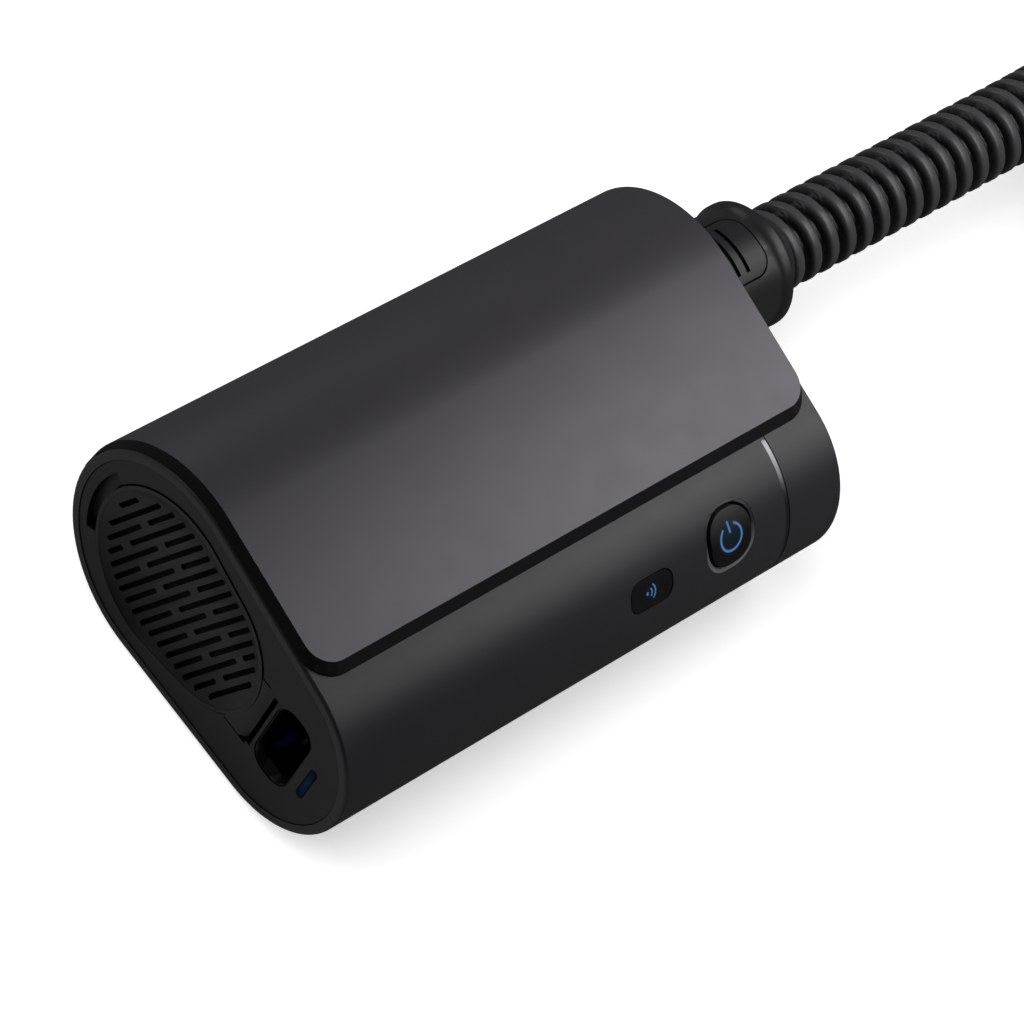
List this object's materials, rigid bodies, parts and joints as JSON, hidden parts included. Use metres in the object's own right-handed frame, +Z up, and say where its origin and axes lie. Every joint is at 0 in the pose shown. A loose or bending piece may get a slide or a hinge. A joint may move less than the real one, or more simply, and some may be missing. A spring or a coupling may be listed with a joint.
{
  "type": "travel cpap machine",
  "caption": "Travel-size CPAP machine: rounded housing with filter and power socket at one end, lit buttons on its front, and a ribbed air hose on a quick-release connector at the other.",
  "frame": {"origin": "on the surface the machine stands on, under the middle of its housing", "axes": "+X along the housing from the filter end to the hose end, +Y from the front with the buttons to the back, +Z up"},
  "size_m": [0.4739, 0.2143, 0.0791],
  "materials": {
    "cover_metallic": "satin metallic paint over plastic",
    "cover_edge": "satin",
    "shell_charcoal": "fine satin",
    "end_plate_black": "fine matte grain",
    "filter_cover_black": "fine matte grain",
    "bright_trim": "satin",
    "filter_media": "felted, dark grey",
    "acoustic_foam": "open-cell foam",
    "foot_rubber": "matte",
    "steel": "plain",
    "contact_metal": "bright",
    "socket_plastic": "satin",
    "status_lens": "lit blue lens",
    "button_lens": "lit pale blue lens",
    "button_charcoal": "satin",
    "circuit_board": "solder resist",
    "sensor_body": "moulded",
    "blower_plastic": "plain moulded",
    "impeller_plastic": "polished",
    "motor_alloy": "machined",
    "rotor_magnet": "plain",
    "soft_mount": "soft",
    "duct_silicone": "translucent silicone",
    "port_black": "satin",
    "seal_silicone": "smooth",
    "connector_charcoal": "satin",
    "release_charcoal": "fine matte grain",
    "hose_charcoal": "satin, ribbed",
    "cuff_rubber": "soft satin"
  },
  "bodies": {
    "machine": {"lower_shell": "shell_charcoal", "upper_shell": "shell_charcoal", "outlet_end_cap": "shell_charcoal", "seam_trim": "bright_trim", "top_cover": "cover_metallic", "cover_frame": "cover_edge", "foot_pad": "foot_rubber", "case_screws": "steel", "inlet_end_plate": "end_plate_black", "inlet_foam": "acoustic_foam", "power_socket": "socket_plastic", "socket_contacts": "contact_metal", "status_light": "status_lens", "power_bezel": "end_plate_black", "button_board": "circuit_board", "button_switches": "sensor_body", "main_board": "circuit_board", "pressure_sensor": "sensor_body", "blower_lower": "blower_plastic", "blower_upper": "blower_plastic", "motor_case": "motor_alloy", "shaft_bearings": "steel", "blower_mounts": "soft_mount", "outlet_duct": "duct_silicone", "outlet_port": "port_black", "outlet_seal": "seal_silicone", "hose_connector": "connector_charcoal", "hose_collar": "connector_charcoal", "hose": "hose_charcoal", "hose_coil": "hose_charcoal", "mask_end_cuff": "cuff_rubber"},
    "power_button_body": {"power_button": "button_charcoal", "power_light": "button_lens"},
    "pairing_button_body": {"pairing_button": "button_charcoal", "pairing_light": "button_lens"},
    "release_upper_body": {"release_upper": "release_charcoal"},
    "release_lower_body": {"release_lower": "release_charcoal"},
    "filter_cover_body": {"filter_cover": "filter_cover_black", "air_filter": "filter_media"},
    "impeller_body": {"impeller": "impeller_plastic", "impeller_shaft": "steel", "motor_rotor": "rotor_magnet"}
  },
  "joints": [
    {"name": "power_press", "type": "slide", "parent": "machine", "child": "power_button_body", "axis": [0, 0.7361, -0.6769], "range_m": [0, 0.0008], "stiffness_N_per_m": 600, "springref_m": -0.001},
    {"name": "pairing_press", "type": "slide", "parent": "machine", "child": "pairing_button_body", "axis": [0, 0.7955, -0.606], "range_m": [0, 0.0005], "stiffness_N_per_m": 600, "springref_m": -0.001},
    {"name": "release_upper_press", "type": "slide", "parent": "machine", "child": "release_upper_body", "axis": [0, 0, -1], "range_m": [0, 0.001], "stiffness_N_per_m": 1500, "springref_m": -0.001},
    {"name": "release_lower_press", "type": "slide", "parent": "machine", "child": "release_lower_body", "axis": [0, 0, 1], "range_m": [0, 0.001], "stiffness_N_per_m": 1500, "springref_m": -0.001},
    {"name": "filter_cover_pull", "type": "slide", "parent": "machine", "child": "filter_cover_body", "axis": [-1, 0, 0], "range_m": [0, 0.012]},
    {"name": "impeller_spin", "type": "hinge", "parent": "machine", "child": "impeller_body", "pos_m": [-0.004, 0.003, 0.0264], "axis": [0, 0, 1], "continuous": true}
  ]
}
